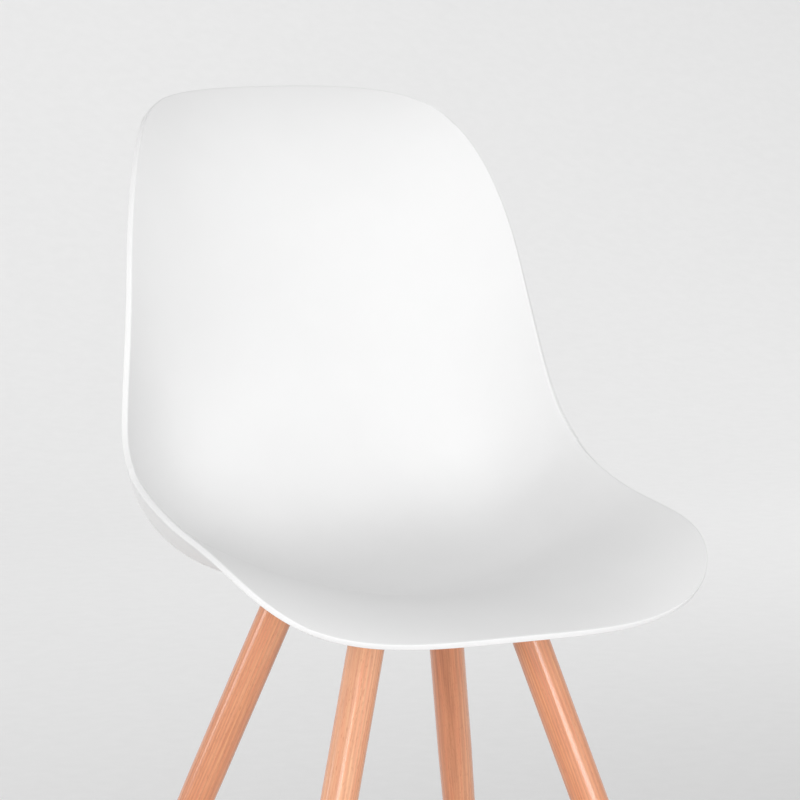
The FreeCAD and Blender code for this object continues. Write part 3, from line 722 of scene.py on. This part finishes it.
# %% Measure a leg in the frame
LEGS = ("front_left", "front_right", "rear_left", "rear_right")


def node_points(node):
    """Distinct corner points of a CAD node, in metres."""
    vertices = bpy.data.objects[node].data.vertices
    flat = np.empty(len(vertices) * 3)
    vertices.foreach_get("co", flat)
    return np.unique(flat.reshape(-1, 3).round(6), axis=0)


def turned_axis(node, near_end=0.0008):
    """Middles of the top and foot circles of a leg, and the axis from foot to top."""
    points = node_points(node)
    away = points - points.mean(axis=0)
    axis = np.linalg.svd(away, full_matrices=False)[2][0]
    axis *= np.sign(axis[2])
    along = away @ axis
    ends = [points[along > along.max() - near_end], points[along < along.min() + near_end]]
    top, foot = (Vector((end.max(axis=0) + end.min(axis=0)) / 2) for end in ends)
    return top, foot, (top - foot).normalized()


# %% Turned legs
LEG_RADIUS, FOOT_RADIUS, STRAIGHT, TOP_BREAK, FOOT_BREAK = 15.0, 11.5, 170.0, 1.0, 0.4
INSERT_RADIUS, INSERT_BORE, NAIL_RADIUS, NAIL_BORE = 6.0, 30.0, 1.5, 20.0
# Where in the plank each blank was sawn from, so that no two legs share their figure.
PLANK_PLACES = {"front_left": (0.31, 0.12, 0.0), "front_right": (1.73, 0.40, 0.7),
                "rear_left": (2.90, 0.85, 1.9), "rear_right": (4.16, 0.21, 3.1)}


def leg_profile(length):
    """From the bottom of the insert's bore, over the top and down the leg, to the nail's bore."""
    slope = (LEG_RADIUS - FOOT_RADIUS) / (length - STRAIGHT)
    cut = [(0, -INSERT_BORE), (INSERT_RADIUS, -INSERT_BORE), (INSERT_RADIUS, 0)]
    shoulder = [(LEG_RADIUS - TOP_BREAK * (1 - math.sin(turn)), -TOP_BREAK * (1 - math.cos(turn)))
                for turn in (math.pi / 2 * step / 4 for step in range(5))]
    # Even steps down the leg keep its faces close to square.
    straight = [(LEG_RADIUS, -depth) for depth in np.linspace(TOP_BREAK + 3, STRAIGHT, 40)]
    taper = [(LEG_RADIUS - slope * (depth - STRAIGHT), -depth)
             for depth in np.linspace(STRAIGHT, length - FOOT_BREAK, 70)[1:]]
    foot = [(FOOT_RADIUS - FOOT_BREAK / 2, -length), (NAIL_RADIUS, -length),
            (NAIL_RADIUS, NAIL_BORE - length), (0, NAIL_BORE - length)]
    return cut + shoulder + straight + taper + foot


def make_legs(beech):
    for leg in LEGS:
        top, foot, axis = turned_axis(f"leg_{leg}")
        length = (top - foot).length / MM
        piece = turned(f"beech_leg_{leg}", leg_profile(length), top, axis, beech,
                       PLANK_PLACES[leg])
        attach(piece, "root")
        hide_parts(f"leg_{leg}")
        print(f"{piece.name}: {length:.1f} mm long, {math.degrees(math.acos(axis.z)):.1f} degrees "
              f"off upright, {volume_mm3(piece) / 1000:.0f} cm3")


make_legs(lacquered_beech())

# %% [markdown]
# ## Nylon glides
#
# Each glide is turned too, then its underside is cut level with the floor, because the leg leans.
# The cut is one plane through the mesh, and the hole that it leaves is closed with one face.
# Nylon 6 in a pale grey: waxy and softly glossy, with fine dull scuffs all over.

# %% Glides
GLIDE_RADIUS, NAIL_HEAD_RADIUS, NAIL_HEAD, GLIDE_EDGE, GLIDE_ROUND = 10.5, 4.5, 1.5, 3.0, 0.6


def moulded_nylon():
    material, tree = new_material("moulded nylon, waxy")
    place = add(tree, "ShaderNodeTexCoord").outputs["Object"]
    cloud = add(tree, "ShaderNodeTexNoise", {"Vector": place, "Scale": 160.0, "Detail": 3.0})
    colour = ramp(tree, cloud.outputs["Fac"], [(0.3, "cfccc6"), (0.7, "dad7d1")])
    # Scuffs up to 0.7 mm wide, from grit under the foot.
    scuff = add(tree, "ShaderNodeTexNoise", {"Vector": place, "Scale": 1400.0, "Detail": 2.0})
    dull = add(tree, "ShaderNodeMapRange", {"Value": scuff.outputs["Fac"], "From Min": 0.35,
                                            "From Max": 0.65, "To Min": 0.35, "To Max": 0.55})
    bump = add(tree, "ShaderNodeBump", {"Height": scuff.outputs["Fac"], "Strength": 0.1,
                                        "Distance": 0.0002})
    finish(tree, add(tree, "ShaderNodeBsdfPrincipled", {
        "Base Color": colour, "Roughness": dull.outputs["Result"], "IOR": 1.53,
        "Normal": bump.outputs["Normal"]}))
    return material


def level_with_floor(piece):
    shape = bmesh.new()
    shape.from_mesh(piece.data)
    everything = shape.verts[:] + shape.edges[:] + shape.faces[:]
    cut = bmesh.ops.bisect_plane(shape, geom=everything, plane_co=(0, 0, 0), plane_no=(0, 0, -1),
                                 clear_outer=True)["geom_cut"]
    rim = [part for part in cut if isinstance(part, bmesh.types.BMEdge)]
    bmesh.ops.contextual_create(shape, geom=rim)
    bmesh.ops.recalc_face_normals(shape, faces=shape.faces)
    shape.to_mesh(piece.data)
    shape.free()
    piece.data.set_sharp_from_angle(angle=math.radians(40))


def make_glides(nylon):
    for leg in LEGS:
        _, foot, axis = turned_axis(f"leg_{leg}")
        lean = math.acos(axis.z)
        low = -(2 * GLIDE_RADIUS * math.tan(lean) + GLIDE_EDGE + 4)
        profile = [(0, -NAIL_HEAD), (NAIL_HEAD_RADIUS, -NAIL_HEAD), (NAIL_HEAD_RADIUS, 0),
                   (GLIDE_RADIUS - GLIDE_ROUND, 0), (GLIDE_RADIUS - 0.2, -0.2),
                   (GLIDE_RADIUS, -GLIDE_ROUND), (GLIDE_RADIUS, low), (0, low)]
        piece = turned(f"nylon_glide_{leg}", profile, foot, axis, nylon)
        level_with_floor(piece)
        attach(piece, "root")
        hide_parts(f"glide_{leg}")
        print(f"{piece.name}: {volume_mm3(piece):.0f} mm3")


make_glides(moulded_nylon())

# %% [markdown]
# ## Hardware
#
# Bars, bolts, washers and inserts are already the right shape, so they stay as the frame gives
# them and only get their finish. Each one is a real treatment of a real metal:
#
# - the frame is powder coated in black: a thin skin of polyester with a slight orange-peel wave,
# - bolts, washers and nails are bright zinc on steel, with small crystals that tint it unevenly,
# - spring washers and socket screws are black oxide, a dark oil-held finish on steel,
# - inserts are turned brass, with fine tool lines,
# - spacers are cut from black rubber sheet, matt with a dusty bloom.

# %% Hardware finishes
def hardware_finish(name, colours, metallic, roughness, pattern_mm, bump, ior=None, stretch=None):
    """Finish whose colour, gloss and relief all follow one pattern of a real size in mm."""
    material, tree = new_material(name)
    place = add(tree, "ShaderNodeTexCoord").outputs["Object"]
    if stretch:
        place = add(tree, "ShaderNodeMapping", {"Vector": place, "Scale": stretch}).outputs[0]
    pattern = add(tree, "ShaderNodeTexNoise",
                  {"Vector": place, "Scale": 0.5 / (pattern_mm * MM), "Detail": 3.0})
    low, high = roughness
    gloss = add(tree, "ShaderNodeMapRange", {"Value": pattern.outputs["Fac"], "From Min": 0.3,
                                             "From Max": 0.7, "To Min": low, "To Max": high})
    relief = add(tree, "ShaderNodeBump", {"Height": pattern.outputs["Fac"], "Strength": bump,
                                          "Distance": 0.0003})
    colour = ramp(tree, pattern.outputs["Fac"], [(0.3, colours[0]), (0.7, colours[1])])
    shader = {"Base Color": colour, "Metallic": metallic, "Roughness": gloss.outputs["Result"],
              "Normal": relief.outputs["Normal"]}
    if ior:
        shader["IOR"] = ior
    finish(tree, add(tree, "ShaderNodeBsdfPrincipled", shader))
    return material


FINISHES = {
    ("frame_bar", "frame_rail"): hardware_finish(
        "black polyester powder coat, fine orange peel", ("1b1b1c", "222223"), 0.0, (0.38, 0.5),
        pattern_mm=0.8, bump=0.2, ior=1.5),
    ("leg_bolt", "leg_washer", "shell_washer", "glide_nail", "leg_insert"): hardware_finish(
        "bright zinc plate on steel", ("b3b7ba", "cdd0d2"), 1.0, (0.25, 0.42),
        pattern_mm=0.6, bump=0.08),
    ("leg_spring", "shell_screw"): hardware_finish(
        "black oxide on steel, oiled", ("2a2a2d", "37373a"), 1.0, (0.35, 0.5),
        pattern_mm=0.5, bump=0.08),
    ("boss_insert",): hardware_finish(
        "turned brass", ("c79a4b", "dcb465"), 1.0, (0.22, 0.34),
        pattern_mm=0.3, bump=0.12, stretch=(0.1, 0.1, 1.0)),
    ("shell_spacer",): hardware_finish(
        "black rubber sheet, cut", ("232323", "2e2e2d"), 0.0, (0.72, 0.86),
        pattern_mm=0.4, bump=0.25, ior=1.52),
}


def dress_hardware():
    count = 0
    for starts, material in FINISHES.items():
        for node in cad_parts:
            if node.startswith(starts):
                materials = bpy.data.objects[node].data.materials
                for place in range(len(materials)):
                    materials[place] = material
                if not materials:
                    materials.append(material)
                count += 1
    print(count, "pieces of hardware dressed")


dress_hardware()
